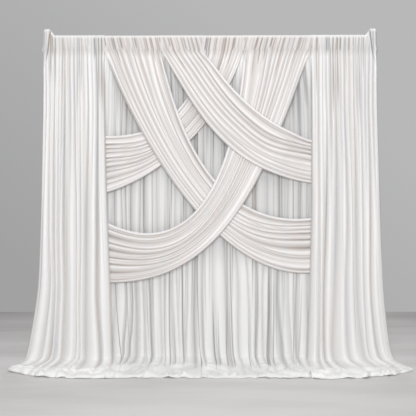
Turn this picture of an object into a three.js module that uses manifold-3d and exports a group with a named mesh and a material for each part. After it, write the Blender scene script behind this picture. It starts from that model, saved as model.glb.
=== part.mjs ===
// A pipe and drape backdrop. Two telescoping uprights with slotted tops stand on steel base plates,
// a telescoping crossbar hooks into the slots, and eight gathered cloths hang from the crossbar.
// Millimetres, +Z up, the front faces -Y. The origin is the middle of the footprint, on the floor.
import * as THREE from "three";
import { mergeVertices } from "three/addons/utils/BufferGeometryUtils.js";
import Module from "manifold-3d";

const wasm = await Module();
wasm.setup();

// The whole stand
const uprightSpan = 3048;
const barHeight = 3024;
const seatGap = 0.2;
const slideGap = 0.3;
const cutOverrun = 4;

// Base plate, and the spigot that is bolted to it and carries the upright
const plateSize = 356;
const plateThickness = 6;
const plateCornerRadius = 28;
const plateEdgeRound = 1.2;
const spigotHeight = 180;
const spigotWall = 6;
const spigotFloor = 26;
const spigotChamfer = 4;
const boltRadius = 6;
const boltHeadRadius = 11;
const boltHeadDepth = 4.5;
const boltRecess = 0.6;
const boltReach = 18;
const setScrewRadius = 4;
const setScrewHeight = 92;
const setScrewHeadRadius = 6.5;
const setScrewHeadLength = 6;
const setScrewSocketRadius = 2.5;
const setScrewSocketDepth = 4;

// Upright tubes
const tubeWall = 1.65;
const lowerTubeRadius = 25.4;
const lowerTubeLength = 2134;
const mastRadius = 22.2;
const mastOverlap = 280;
const mastAboveBar = 54;

// Collar with its clamp at the top of the lower tube, and the guide at the mast's foot
const collarRadius = 31;
const collarLength = 62;
const collarLip = 7;
const collarChamfer = 3;
const clampDrop = 30;
const clampBossRadius = 11;
const clampBossReach = 12;
const clampScrewRadius = 4;
const knobRadius = 21;
const knobLobes = 5;
const knobLobeDepth = 4.5;
const knobThickness = 15;
const knobRound = 2.5;
const knobStandOff = 5;
const knobBoreDepth = 10;
const guideLength = 24;
const guidePlug = 30;
const guideWall = 3;

// Slotted top of the mast and its cap
const slotWidth = 6;
const slotHeight = 38;
const slotAboveBar = 1;
const capDome = 4;
const capRim = 3;
const capPlug = 10;
const capWall = 2.5;

// Crossbar tubes and what runs and stops inside them
const outerBarRadius = 19.05;
const innerBarRadius = 15.9;
const barOverlap = 412.4;
const barEndGap = 8;
const bushingLength = 30;
const bushingFlange = 3;
const stopShoulder = 8;
const stopPlug = 25;
const stopWall = 3;

// Hook at each end of the crossbar
const plugLength = 52;
const plugFlange = 3;
const bladeThickness = 3;
const bladeHeight = 24;
const bladeGap = 0.4;
const noseLength = 10;
const noseRound = 4;
const rivetRadius = 2.5;
const rivetInset = 14;
const rivetPitch = 24;

// Cloth
const clothThickness = 1.5;
const seamDrop = 121;
const hoodRise = 59;
const hoodRunOut = 30;
const hoodSeamRunOut = 90;
const hoodPast = 6;
const sidePleat = 13;
const backPleat = 12;
const swagPleat = 7;
const sideDepth = 62;
const puddleReach = 425;
const backPuddleReach = 408;
const bendHeight = 55;
const bendDepth = 33;
const landingHeight = 9;
const landingDepth = 135;
const backDrapeSetBack = 30;
const swagSeamDepth = 16;
const swagEndDepth = 30;
const swagFirstDepth = 30;
const swagLayerDepth = 22;

// Facets
const tubeSides = 24;
const smallSides = 12;
const arcSteps = 4;
const roundSteps = 3;
const lobePoints = 8;
const columnsPerPleat = 4;

// Places that follow from the sizes
const halfSpan = uprightSpan / 2;
const plateTop = plateThickness + seatGap;
const lowerTubeTop = plateTop + lowerTubeLength;
const lowerTubeBore = lowerTubeRadius - tubeWall;
const mastBore = mastRadius - tubeWall;
const mastTop = barHeight + mastAboveBar;
const mastBottom = lowerTubeTop - mastOverlap;
const clampHeight = lowerTubeTop - clampDrop;
const clampBossEnd = collarRadius + clampBossReach;
const barStart = mastRadius + barEndGap;
const barTubeLength = (uprightSpan - 2 * barStart + barOverlap) / 2;
const outerBarBore = outerBarRadius - tubeWall;
const innerBarBore = innerBarRadius - tubeWall;
const seamHeight = barHeight - seamDrop;
const halfCloth = clothThickness / 2;

// Solids, cuts and joins

function solidOf(geometry) {
  const bare = geometry.clone();
  bare.deleteAttribute("normal");
  bare.deleteAttribute("uv");
  const merged = mergeVertices(bare);
  return new wasm.Manifold(
    new wasm.Mesh({
      numProp: 3,
      vertProperties: merged.attributes.position.array,
      triVerts: new Uint32Array(merged.index.array),
    }),
  );
}

function geometryOf(solid) {
  const { vertProperties, triVerts } = solid.getMesh();
  const geometry = new THREE.BufferGeometry();
  geometry.setAttribute("position", new THREE.BufferAttribute(vertProperties, 3));
  geometry.setIndex(new THREE.BufferAttribute(triVerts, 1));
  return geometry;
}

function cut(geometry, ...cutters) {
  const left = cutters.reduce((solid, cutter) => solid.subtract(solidOf(cutter)), solidOf(geometry));
  return geometryOf(left);
}

function join(...geometries) {
  const whole = geometries.map(solidOf).reduce((sum, solid) => sum.add(solid));
  return geometryOf(whole);
}

// A turned piece about +Z. Its outline runs from the axis at the bottom to the axis at the top.
function turned(outline, sides) {
  const profile = outline.map(([radius, height]) => new THREE.Vector2(radius, height));
  return new THREE.LatheGeometry(profile, sides).rotateX(Math.PI / 2);
}

// A turned ring about +Z, whose outline closes on itself.
function turnedRing(outline, sides) {
  return turned([...outline, outline[0]], sides);
}

function pipe(outer, inner, low, high, sides) {
  return turnedRing([[inner, low], [outer, low], [outer, high], [inner, high]], sides);
}

function rod(radius, low, high, sides) {
  return turned([[0, low], [radius, low], [radius, high], [0, high]], sides);
}

const alongX = (geometry) => geometry.rotateY(Math.PI / 2);
const alongY = (geometry) => geometry.rotateX(-Math.PI / 2);

// Materials

const anodised = () => new THREE.MeshStandardMaterial({ color: "#c3c6ca", roughness: 0.35, metalness: 1 });
const powderCoat = () => new THREE.MeshStandardMaterial({ color: "#b9bbbd", roughness: 0.6, metalness: 0 });
const zincSteel = () => new THREE.MeshStandardMaterial({ color: "#b5b3ad", roughness: 0.4, metalness: 1 });
const nylon = () => new THREE.MeshStandardMaterial({ color: "#26282b", roughness: 0.55, metalness: 0 });
const sideCloth = () => new THREE.MeshStandardMaterial({ color: "#efedeb", roughness: 0.9, metalness: 0 });
const backCloth = () => new THREE.MeshStandardMaterial({ color: "#e2e2e4", roughness: 0.9, metalness: 0 });
const swagCloth = () => new THREE.MeshStandardMaterial({ color: "#eeeae6", roughness: 0.9, metalness: 0 });

function node(name, geometry, material) {
  const mesh = new THREE.Mesh(geometry, material);
  mesh.name = name;
  return mesh;
}

// Base plate and spigot

function basePlate() {
  const half = plateSize / 2 - plateEdgeRound;
  const corner = plateCornerRadius - plateEdgeRound;
  const square = new THREE.Shape();
  for (const [turn, signX, signY] of [[0, 1, 1], [1, -1, 1], [2, -1, -1], [3, 1, -1]]) {
    const start = (turn * Math.PI) / 2;
    square.absarc(signX * (half - corner), signY * (half - corner), corner, start, start + Math.PI / 2);
  }
  const slab = new THREE.ExtrudeGeometry(square, {
    depth: plateThickness - 2 * plateEdgeRound,
    bevelThickness: plateEdgeRound,
    bevelSize: plateEdgeRound,
    bevelSegments: 1,
    curveSegments: roundSteps,
  }).translate(0, 0, plateEdgeRound);
  const shank = boltRadius + slideGap;
  const countersink = turned(
    [
      [0, -cutOverrun],
      [boltHeadRadius + slideGap, -cutOverrun],
      [boltHeadRadius + slideGap, boltRecess],
      [shank, boltRecess + boltHeadDepth],
      [shank, plateThickness + cutOverrun],
      [0, plateThickness + cutOverrun],
    ],
    smallSides,
  );
  return cut(slab, countersink);
}

function baseSpigot() {
  const radius = lowerTubeBore - slideGap;
  const top = plateTop + spigotHeight;
  const body = turned(
    [
      [0, plateTop],
      [radius, plateTop],
      [radius, top - spigotChamfer],
      [radius - spigotChamfer, top],
      [radius - spigotWall, top],
      [radius - spigotWall, plateTop + spigotFloor],
      [0, plateTop + spigotFloor],
    ],
    tubeSides,
  );
  const boltHole = rod(boltRadius + slideGap, 0, plateTop + spigotFloor + cutOverrun, smallSides);
  const screwHole = alongY(rod(setScrewRadius + slideGap, 0, lowerTubeRadius, smallSides));
  return cut(body, boltHole, screwHole.translate(0, 0, setScrewHeight));
}

function spigotBolt() {
  const shankTop = plateTop + boltReach;
  return turned(
    [
      [0, boltRecess],
      [boltHeadRadius, boltRecess],
      [boltRadius, boltRecess + boltHeadDepth],
      [boltRadius, shankTop],
      [0, shankTop],
    ],
    smallSides,
  );
}

function setScrew() {
  const inside = lowerTubeBore - slideGap - spigotWall + seatGap;
  const seat = lowerTubeRadius + seatGap;
  const headEnd = seat + setScrewHeadLength;
  const screw = turned(
    [
      [0, inside],
      [setScrewRadius, inside],
      [setScrewRadius, seat],
      [setScrewHeadRadius, seat],
      [setScrewHeadRadius, headEnd],
      [setScrewSocketRadius, headEnd],
      [setScrewSocketRadius, headEnd - setScrewSocketDepth],
      [0, headEnd - setScrewSocketDepth],
    ],
    smallSides,
  );
  return alongY(screw).translate(0, 0, setScrewHeight);
}

// Upright tubes, collar, clamp and guide

function lowerTube() {
  const tube = pipe(lowerTubeRadius, lowerTubeBore, plateTop + seatGap, lowerTubeTop, tubeSides);
  const reach = lowerTubeRadius + cutOverrun;
  const screwHole = alongY(rod(setScrewRadius + slideGap, 0, reach, smallSides)).translate(0, 0, setScrewHeight);
  const clampHole = alongY(rod(clampScrewRadius + slideGap, 0, reach, smallSides)).translate(0, 0, clampHeight);
  return cut(tube, screwHole, clampHole);
}

function slipCollar() {
  const low = lowerTubeTop - collarLength;
  const high = lowerTubeTop + seatGap + collarLip;
  const ring = turnedRing(
    [
      [lowerTubeRadius + slideGap, low],
      [collarRadius - collarChamfer, low],
      [collarRadius, low + collarChamfer],
      [collarRadius, high - collarChamfer],
      [collarRadius - collarChamfer, high],
      [mastRadius + slideGap, high],
      [mastRadius + slideGap, lowerTubeTop + seatGap],
      [lowerTubeRadius + slideGap, lowerTubeTop + seatGap],
    ],
    tubeSides,
  );
  const bossStart = lowerTubeRadius + 2 * slideGap;
  const boss = alongY(rod(clampBossRadius, bossStart, clampBossEnd, smallSides)).translate(0, 0, clampHeight);
  const tubeRoom = rod(lowerTubeRadius + slideGap, low - cutOverrun, lowerTubeTop + seatGap, tubeSides);
  const screwHole = alongY(rod(clampScrewRadius + slideGap, 0, clampBossEnd + cutOverrun, smallSides));
  return cut(join(ring, boss), tubeRoom, screwHole.translate(0, 0, clampHeight));
}

function clampScrew() {
  const low = mastRadius + slideGap;
  const high = clampBossEnd + knobStandOff + knobBoreDepth;
  return alongY(rod(clampScrewRadius, low, high, smallSides)).translate(0, 0, clampHeight);
}

function clampKnob() {
  const lobed = new THREE.Shape();
  const count = knobLobes * lobePoints;
  for (let place = 0; place < count; place += 1) {
    const angle = (2 * Math.PI * place) / count;
    const dip = (knobLobeDepth * (1 - Math.cos(knobLobes * angle))) / 2;
    const radius = knobRadius - knobRound - dip;
    const step = place === 0 ? "moveTo" : "lineTo";
    lobed[step](radius * Math.cos(angle), radius * Math.sin(angle));
  }
  const low = clampBossEnd + knobStandOff;
  const body = new THREE.ExtrudeGeometry(lobed, {
    depth: knobThickness - 2 * knobRound,
    bevelThickness: knobRound,
    bevelSize: knobRound,
    bevelSegments: 2,
  }).translate(0, 0, low + knobRound);
  const bore = rod(clampScrewRadius + slideGap, low - cutOverrun, low + knobBoreDepth + seatGap, smallSides);
  return alongY(cut(body, bore)).translate(0, 0, clampHeight);
}

function mastGuide() {
  const shoulderLow = mastBottom - seatGap - guideLength;
  const plugRadius = mastBore - slideGap;
  return turnedRing(
    [
      [plugRadius - guideWall, shoulderLow],
      [lowerTubeBore - slideGap, shoulderLow],
      [lowerTubeBore - slideGap, mastBottom - seatGap],
      [plugRadius, mastBottom - seatGap],
      [plugRadius, mastBottom + guidePlug],
      [plugRadius - guideWall, mastBottom + guidePlug],
    ],
    tubeSides,
  );
}

// The mast's four slots each take a crossbar's hook, so a run of bays can share one upright.
function mast() {
  const tube = pipe(mastRadius, mastBore, mastBottom, mastTop, tubeSides);
  const slotLow = barHeight + slotAboveBar;
  const across = 2 * (mastRadius + cutOverrun);
  const middle = slotLow + slotHeight / 2;
  const slotX = new THREE.BoxGeometry(across, slotWidth, slotHeight).translate(0, 0, middle);
  const slotY = new THREE.BoxGeometry(slotWidth, across, slotHeight).translate(0, 0, middle);
  return cut(tube, slotX, slotY);
}

function mastCap() {
  const rimLow = mastTop + seatGap;
  const rimHigh = rimLow + capRim;
  const plugRadius = mastBore - slideGap;
  const dome = new THREE.QuadraticBezierCurve(
    new THREE.Vector2(mastRadius, rimHigh),
    new THREE.Vector2(mastRadius / 2, rimHigh + capDome),
    new THREE.Vector2(0, rimHigh + capDome),
  );
  return turned(
    [
      [0, rimLow],
      [plugRadius - capWall, rimLow],
      [plugRadius - capWall, rimLow - capPlug],
      [plugRadius, rimLow - capPlug],
      [plugRadius, rimLow],
      [mastRadius, rimLow],
      ...dome.getPoints(roundSteps).map((point) => [point.x, point.y]),
    ],
    tubeSides,
  );
}

// Crossbar tubes

const rivetPlaces = [rivetInset, rivetInset + rivetPitch].map((inset) => barStart + inset);

function rivetHoles(reach) {
  return rivetPlaces.map((place) =>
    alongY(rod(rivetRadius + seatGap, -reach, reach, smallSides)).translate(place, 0, 0),
  );
}

// Each end of the crossbar is drawn with its upright's axis at x = 0 and the bar running to +X.
function endFrame(side, ...pieces) {
  const frame = new THREE.Group();
  frame.add(...pieces);
  frame.position.set(side * halfSpan, 0, barHeight);
  frame.rotation.z = side > 0 ? Math.PI : 0;
  return frame;
}

function barTube(outer, bore) {
  const tube = alongX(pipe(outer, bore, barStart, barStart + barTubeLength, tubeSides));
  return cut(tube, ...rivetHoles(outer + cutOverrun));
}

function mouthBushing() {
  const bore = innerBarRadius + slideGap;
  const mouth = barStart + barTubeLength;
  const ring = turnedRing(
    [
      [bore, mouth - bushingLength],
      [outerBarBore - slideGap, mouth - bushingLength],
      [outerBarBore - slideGap, mouth + seatGap],
      [outerBarRadius, mouth + seatGap],
      [outerBarRadius, mouth + seatGap + bushingFlange],
      [bore, mouth + seatGap + bushingFlange],
    ],
    tubeSides,
  );
  return alongX(ring);
}

function innerStop() {
  const end = barStart + barTubeLength + seatGap;
  const plugRadius = innerBarBore - slideGap;
  const ring = turnedRing(
    [
      [plugRadius - stopWall, end - stopPlug],
      [plugRadius, end - stopPlug],
      [plugRadius, end],
      [outerBarBore - slideGap, end],
      [outerBarBore - slideGap, end + stopShoulder],
      [plugRadius - stopWall, end + stopShoulder],
    ],
    tubeSides,
  );
  return alongX(ring);
}

// Hooks

function endPlug(outer, bore) {
  const flangeLow = barStart - seatGap - plugFlange;
  const body = turned(
    [
      [0, flangeLow],
      [outer, flangeLow],
      [outer, barStart - seatGap],
      [bore - slideGap, barStart - seatGap],
      [bore - slideGap, barStart + plugLength],
      [0, barStart + plugLength],
    ],
    tubeSides,
  );
  const window = new THREE.BoxGeometry(
    plugLength + plugFlange + 2 * cutOverrun,
    bladeThickness + 2 * slideGap,
    bladeHeight + 2 * slideGap,
  ).translate(barStart + plugLength / 2, 0, 0);
  return cut(alongX(body), window, ...rivetHoles(bore));
}

// The blade's nose drops through a slot, and the notch behind it straddles the mast's wall.
function hookBlade() {
  const noseIn = mastBore - bladeGap - noseLength;
  const notchIn = mastBore - bladeGap;
  const notchOut = mastRadius + bladeGap;
  const end = barStart + plugLength;
  const low = -bladeHeight / 2;
  const high = bladeHeight / 2;
  const notchTop = slotAboveBar + slideGap;
  const outline = new THREE.Shape();
  outline.moveTo(noseIn, low + noseRound);
  outline.quadraticCurveTo(noseIn, low, noseIn + noseRound, low);
  outline.lineTo(notchIn, low);
  outline.lineTo(notchIn, notchTop);
  outline.lineTo(notchOut, notchTop);
  outline.lineTo(notchOut, low);
  outline.lineTo(end, low);
  outline.lineTo(end, high);
  outline.lineTo(noseIn + noseRound, high);
  outline.quadraticCurveTo(noseIn, high, noseIn, high - noseRound);
  const blade = new THREE.ExtrudeGeometry(outline, {
    depth: bladeThickness,
    bevelEnabled: false,
    curveSegments: roundSteps,
  });
  blade.rotateX(Math.PI / 2).translate(0, bladeThickness / 2, 0);
  return cut(blade, ...rivetHoles(bladeThickness));
}

function rivet(place, outer) {
  const reach = Math.sqrt(outer ** 2 - rivetRadius ** 2) - seatGap;
  return alongY(rod(rivetRadius, -reach, reach, smallSides)).translate(place, 0, 0);
}

// Cloth. A cloth is a grid of points on its middle, given a front, a back and four edges.

function facing(grid, down, across) {
  const row = grid[down];
  const left = row[Math.max(across - 1, 0)];
  const right = row[Math.min(across + 1, row.length - 1)];
  const above = grid[Math.max(down - 1, 0)][across];
  const below = grid[Math.min(down + 1, grid.length - 1)][across];
  const sideways = right.clone().sub(left);
  return sideways.cross(below.clone().sub(above)).normalize();
}

function clothGeometry(grid) {
  const rows = grid.length;
  const columns = grid[0].length;
  const face = rows * columns;
  const corners = [halfCloth, -halfCloth].flatMap((offset) =>
    grid.flatMap((row, down) =>
      row.map((point, across) => point.clone().addScaledVector(facing(grid, down, across), offset)),
    ),
  );
  const at = (down, across) => down * columns + across;
  const triangles = [];
  for (let down = 0; down + 1 < rows; down += 1) {
    for (let across = 0; across + 1 < columns; across += 1) {
      const quad = [at(down, across), at(down, across + 1), at(down + 1, across + 1), at(down + 1, across)];
      const [a, b, c, d] = quad;
      triangles.push(a, b, c, a, c, d);
      triangles.push(face + a, face + c, face + b, face + a, face + d, face + c);
    }
  }
  const rim = [];
  for (let across = 0; across < columns - 1; across += 1) rim.push(at(0, across));
  for (let down = 0; down < rows - 1; down += 1) rim.push(at(down, columns - 1));
  for (let across = columns - 1; across > 0; across -= 1) rim.push(at(rows - 1, across));
  for (let down = rows - 1; down > 0; down -= 1) rim.push(at(down, 0));
  rim.forEach((here, place) => {
    const next = rim[(place + 1) % rim.length];
    triangles.push(next, here, face + here, next, face + here, face + next);
  });
  const geometry = new THREE.BufferGeometry().setFromPoints(corners);
  geometry.setIndex(triangles);
  geometry.computeVertexNormals();
  return geometry;
}

const mix = THREE.MathUtils.lerp;
const ramp = (from, to, value) => THREE.MathUtils.smoothstep(value, from, to);
const pleatWave = (pleats, share) => Math.cos(2 * Math.PI * pleats * share);

// The fold over the bar, from behind it to in front of it, as [depth, height] pairs. The middles of
// its flats lie at the radius, so that it clears the round bar.
function overTheBar(radius, centreHeight) {
  const cornerRadius = radius / Math.cos(Math.PI / (2 * arcSteps));
  const path = [];
  for (let step = 0; step <= arcSteps; step += 1) {
    const angle = (Math.PI * step) / arcSteps;
    path.push([cornerRadius * Math.cos(angle), centreHeight + cornerRadius * Math.sin(angle)]);
  }
  return path;
}

// Swings a path's points along its own normal, as the pleat at this share of the width does.
function swingPath(path, swings) {
  return path.map(([depth, height], place) => {
    const [depthBefore, heightBefore] = path[Math.max(place - 1, 0)];
    const [depthAfter, heightAfter] = path[Math.min(place + 1, path.length - 1)];
    const run = Math.hypot(depthAfter - depthBefore, heightAfter - heightBefore);
    const swing = swings[place];
    return [
      depth + (swing * (heightAfter - heightBefore)) / run,
      height - (swing * (depthAfter - depthBefore)) / run,
    ];
  });
}

// A drape: a rod pocket over the bar, a pleated fall, and a train that lies forward on the floor.
// Its rows below the seam are [height, depth, pleat] shares, and its edges are shares of half the span.
function drapeGrid(drape) {
  const { side, barRadius, pleats, pleat, depth, reach, hood } = drape;
  const columns = pleats * columnsPerPleat;
  const grid = [];
  for (let across = 0; across <= columns; across += 1) {
    const share = across / columns;
    const headingX = halfSpan * mix(drape.edgeShares[0][0], drape.edgeShares[0][1], share);
    const pastHood = headingX - (halfSpan - mastRadius - hoodPast);
    const hooded = hood ? THREE.MathUtils.clamp(1 + pastHood / hoodRunOut, 0, 1) : 0;
    const openSeam = hood ? THREE.MathUtils.clamp(1 + pastHood / hoodSeamRunOut, 0, 1) : 0;
    const snug = slideGap + halfCloth;
    const radius = mix(barRadius + snug, mastRadius + 2 * snug, hooded);
    const seamHalf = mix(halfCloth + seatGap, mastRadius + 2 * snug, openSeam);
    const pocket = overTheBar(radius, barHeight + hooded * hoodRise);
    const corner = 1 - drape.cornerShare * (1 - share) ** 3;
    const landing = landingHeight + pleat;
    const path = [
      [seamHalf, seamHeight],
      ...pocket,
      [-seamHalf, seamHeight],
      ...drape.fallShares.map(([high, deep]) => [-deep * depth, high * barHeight]),
      [-depth - bendDepth, bendHeight],
      [-depth - landingDepth, landing],
      [-reach * corner, pleat + halfCloth],
    ];
    const wave = pleatWave(pleats, share) * pleat;
    const still = pocket.map(() => 0);
    const swings = [0, ...still, 0, ...drape.fallShares.map((row) => row[2] * wave), wave, wave, wave];
    const swung = swingPath(path, swings);
    const edges = [...pocket.map(() => drape.edgeShares[0]), drape.edgeShares[0], ...drape.edgeShares];
    swung.forEach(([y, z], place) => {
      const x = side * halfSpan * mix(edges[place][0], edges[place][1], share);
      grid[place] = grid[place] || [];
      grid[place].push(new THREE.Vector3(x, y, Math.max(z, halfCloth)));
    });
  }
  return grid;
}

// Each row below the pocket: how high, how far forward and how deeply pleated, as shares.
const sideFallShares = [[0.82, 0.8, 0.7], [0.56, 1, 1], [0.27, 1, 1], [0.065, 1, 1]];
const backFallShares = [[0.82, 1, 0.75], [0.56, 1, 1], [0.27, 1, 1], [0.065, 1, 1]];

// Outer and inner edge of each row from the seam down, as shares of half the span.
const leftSideEdgeShares = [
  [1.016, 0.648],
  [1.012, 0.637],
  [1.02, 0.625],
  [1.038, 0.605],
  [1.095, 0.592],
  [1.12, 0.586],
  [1.162, 0.578],
  [1.18, 0.57],
];
const rightSideEdgeShares = [
  [1.016, 0.616],
  [1.013, 0.612],
  [1.024, 0.611],
  [1.044, 0.602],
  [1.082, 0.586],
  [1.11, 0.58],
  [1.16, 0.572],
  [1.18, 0.565],
];
const leftBackEdgeShares = [
  [0.642, 0.065],
  [0.665, 0.042],
  [0.68, 0.04],
  [0.68, 0.04],
  [0.64, 0.05],
  [0.6, 0.062],
  [0.566, 0.062],
  [0.558, 0.062],
];
const rightBackEdgeShares = [
  [0.61, -0.055],
  [0.64, -0.078],
  [0.655, -0.08],
  [0.65, -0.08],
  [0.62, -0.068],
  [0.59, -0.058],
  [0.56, -0.058],
  [0.553, -0.058],
];

function sideDrape(side, barRadius, edgeShares) {
  return clothGeometry(
    drapeGrid({
      side,
      barRadius,
      edgeShares,
      pleats: 5,
      pleat: sidePleat,
      depth: sideDepth,
      reach: puddleReach,
      hood: true,
      cornerShare: 0.45,
      fallShares: sideFallShares,
    }),
  );
}

function backDrape(side, depth, edgeShares) {
  return clothGeometry(
    drapeGrid({
      side,
      barRadius: outerBarRadius,
      edgeShares,
      pleats: 6,
      pleat: backPleat,
      depth,
      reach: backPuddleReach,
      hood: false,
      cornerShare: 0,
      fallShares: backFallShares,
    }),
  );
}

// A swag: a flounce over the back drape's pocket, then a pleated band between two bowed edges.
// Edge points are [share of half the span, share of the bar's height], ends and curve handles.
function edgeCurve(shares) {
  const points = shares.map(([x, z]) => new THREE.Vector2(x * halfSpan, z * barHeight));
  return new THREE.CubicBezierCurve(...points);
}

const swagPleats = 3.5;
const swagRowShares = [0, 0.07, 0.15, 0.26, 0.38, 0.5, 0.62, 0.74, 0.87, 1];
const swagForwardShare = 0.15;
const swagReturnShares = [0.78, 0.96];

function swag({ layer, upperShares, lowerShares }) {
  const depth = swagFirstDepth + layer * swagLayerDepth;
  const upper = edgeCurve(upperShares);
  const lower = edgeCurve(lowerShares);
  const columns = swagPleats * columnsPerPleat;
  const flounceRadius = outerBarRadius + 2 * slideGap + clothThickness + halfCloth;
  const across = Array.from({ length: columns + 1 }, (unused, place) => place / columns);
  const flounce = overTheBar(flounceRadius, barHeight).map(([y, z]) =>
    across.map((share) => new THREE.Vector3(mix(upper.v0.x, lower.v0.x, share), y, z)),
  );
  const band = swagRowShares.map((down) => {
    const forward = ramp(0, swagForwardShare, down);
    const back = ramp(swagReturnShares[0], swagReturnShares[1], down);
    const middle = mix(mix(swagSeamDepth, depth, forward), swagEndDepth, back);
    const high = upper.getPoint(down);
    const low = lower.getPoint(down);
    return across.map((share) => {
      const { x, y } = high.clone().lerp(low, share);
      return new THREE.Vector3(x, forward * swagPleat * pleatWave(swagPleats, share) - middle, y);
    });
  });
  return clothGeometry([...flounce, ...band]);
}

// The four swags from the back of the braid to its front.
const innerRightSwag = {
  layer: 0,
  upperShares: [[-0.04, 0.96], [-0.1, 0.78], [-0.3, 0.685], [-0.69, 0.7]],
  lowerShares: [[0.205, 0.96], [0.08, 0.75], [-0.26, 0.57], [-0.69, 0.515]],
};
const outerLeftSwag = {
  layer: 1,
  upperShares: [[-0.298, 0.96], [-0.19, 0.71], [0.03, 0.4], [0.66, 0.45]],
  lowerShares: [[-0.641, 0.96], [-0.48, 0.73], [0.04, 0.23], [0.66, 0.28]],
};
const outerRightSwag = {
  layer: 2,
  upperShares: [[0.207, 0.96], [0.17, 0.72], [0.02, 0.25], [-0.69, 0.45]],
  lowerShares: [[0.609, 0.96], [0.37, 0.65], [0.15, 0.22], [-0.69, 0.25]],
};
const innerLeftSwag = {
  layer: 3,
  upperShares: [[-0.046, 0.96], [0.12, 0.83], [0.35, 0.71], [0.66, 0.68]],
  lowerShares: [[-0.296, 0.96], [-0.06, 0.74], [0.12, 0.58], [0.66, 0.55]],
};

// The assembly

function upright(side, word) {
  const frame = new THREE.Group();
  frame.add(
    node(`${word}_base_plate`, basePlate(), powderCoat()),
    node(`${word}_base_spigot`, baseSpigot(), zincSteel()),
    node(`${word}_spigot_bolt`, spigotBolt(), zincSteel()),
    node(`${word}_set_screw`, setScrew(), zincSteel()),
    node(`${word}_lower_tube`, lowerTube(), anodised()),
    node(`${word}_slip_collar`, slipCollar(), nylon()),
    node(`${word}_clamp_screw`, clampScrew(), zincSteel()),
    node(`${word}_clamp_knob`, clampKnob(), nylon()),
    node(`${word}_mast`, mast(), anodised()),
    node(`${word}_mast_guide`, mastGuide(), nylon()),
    node(`${word}_mast_cap`, mastCap(), nylon()),
  );
  frame.position.x = side * halfSpan;
  return frame;
}

function hook(side, word, outer, bore) {
  return endFrame(
    side,
    node(`${word}_end_plug`, endPlug(outer, bore), nylon()),
    node(`${word}_hook_blade`, hookBlade(), zincSteel()),
    ...rivetPlaces.map((place, order) =>
      node(`${word}_hook_rivet_${order + 1}`, rivet(place, outer), zincSteel()),
    ),
  );
}

const stand = new THREE.Group();
stand.add(
  upright(-1, "left"),
  upright(1, "right"),
  endFrame(
    -1,
    node("outer_bar_tube", barTube(outerBarRadius, outerBarBore), anodised()),
    node("bar_mouth_bushing", mouthBushing(), nylon()),
  ),
  endFrame(
    1,
    node("inner_bar_tube", barTube(innerBarRadius, innerBarBore), anodised()),
    node("inner_bar_stop", innerStop(), nylon()),
  ),
  hook(-1, "left", outerBarRadius, outerBarBore),
  hook(1, "right", innerBarRadius, innerBarBore),
  node("left_side_drape", sideDrape(-1, outerBarRadius, leftSideEdgeShares), sideCloth()),
  node("right_side_drape", sideDrape(1, innerBarRadius, rightSideEdgeShares), sideCloth()),
  node("left_back_drape", backDrape(-1, -backDrapeSetBack, leftBackEdgeShares), backCloth()),
  node("right_back_drape", backDrape(1, 0, rightBackEdgeShares), backCloth()),
  node("inner_right_swag", swag(innerRightSwag), swagCloth()),
  node("outer_left_swag", swag(outerLeftSwag), swagCloth()),
  node("outer_right_swag", swag(outerRightSwag), swagCloth()),
  node("inner_left_swag", swag(innerLeftSwag), swagCloth()),
);

// The trains reach further forward than the base plates reach back, so the bar is behind the origin.
const footprint = new THREE.Box3().setFromObject(stand);
stand.position.y = -(footprint.min.y + footprint.max.y) / 2;

export default stand;
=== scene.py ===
import math

import bpy
import numpy as np
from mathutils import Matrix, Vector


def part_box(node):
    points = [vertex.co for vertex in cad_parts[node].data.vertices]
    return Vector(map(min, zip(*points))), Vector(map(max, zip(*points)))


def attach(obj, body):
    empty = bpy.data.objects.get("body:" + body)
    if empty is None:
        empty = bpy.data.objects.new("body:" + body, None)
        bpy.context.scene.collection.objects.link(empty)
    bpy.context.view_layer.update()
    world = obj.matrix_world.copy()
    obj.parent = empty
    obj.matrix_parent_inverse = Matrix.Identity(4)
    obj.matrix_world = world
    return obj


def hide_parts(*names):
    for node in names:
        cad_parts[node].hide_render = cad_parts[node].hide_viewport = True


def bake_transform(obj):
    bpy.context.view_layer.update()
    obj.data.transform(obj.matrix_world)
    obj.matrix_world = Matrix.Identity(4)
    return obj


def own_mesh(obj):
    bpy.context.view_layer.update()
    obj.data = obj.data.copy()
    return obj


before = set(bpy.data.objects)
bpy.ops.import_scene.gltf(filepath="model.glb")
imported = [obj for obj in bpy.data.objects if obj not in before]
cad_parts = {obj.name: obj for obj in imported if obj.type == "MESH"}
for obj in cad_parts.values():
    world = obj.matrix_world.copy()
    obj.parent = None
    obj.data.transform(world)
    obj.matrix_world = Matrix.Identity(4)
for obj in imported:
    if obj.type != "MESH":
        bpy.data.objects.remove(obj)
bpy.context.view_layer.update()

# The camera stands 4.6 m in front of the crossbar, at eye height, level and turned by a hair to the
# left, as the photograph was taken.
bar_low, bar_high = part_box("outer_bar_tube")
BAR_Y = (bar_low.y + bar_high.y) / 2
BAR_Z = (bar_low.z + bar_high.z) / 2
CAMERA_PLACE = (-0.0066, BAR_Y - 4.6, 1.445)
CAMERA_TURN = (90, 0.05, 0.15)
LENS_MM = 42.71

camera_data = bpy.data.cameras.new("studio_camera")
camera_data.lens = LENS_MM
camera = bpy.data.objects.new("studio_camera", camera_data)
camera.location = CAMERA_PLACE
camera.rotation_euler = [math.radians(angle) for angle in CAMERA_TURN]
bpy.context.scene.collection.objects.link(camera)
bpy.context.scene.camera = camera
bpy.context.scene.view_settings.view_transform = "Standard"

# The studio: a smooth pale concrete floor that ends at a plain grey wall, soft boxes in front of the
# stand, over it and behind it, and an even fill from all round.
FLOOR_REACH = 14.0
WALL_Y = BAR_Y + 2.26
# The floor's cloudy streaks, and where across its depth it is darkest and lightest: painted shade, darker
# towards the wall.
STREAKS_MM = (2041, 324.7, 714)
FLOOR_SHADED_Y, FLOOR_LIT_Y = 2.5, -1.2


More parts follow.
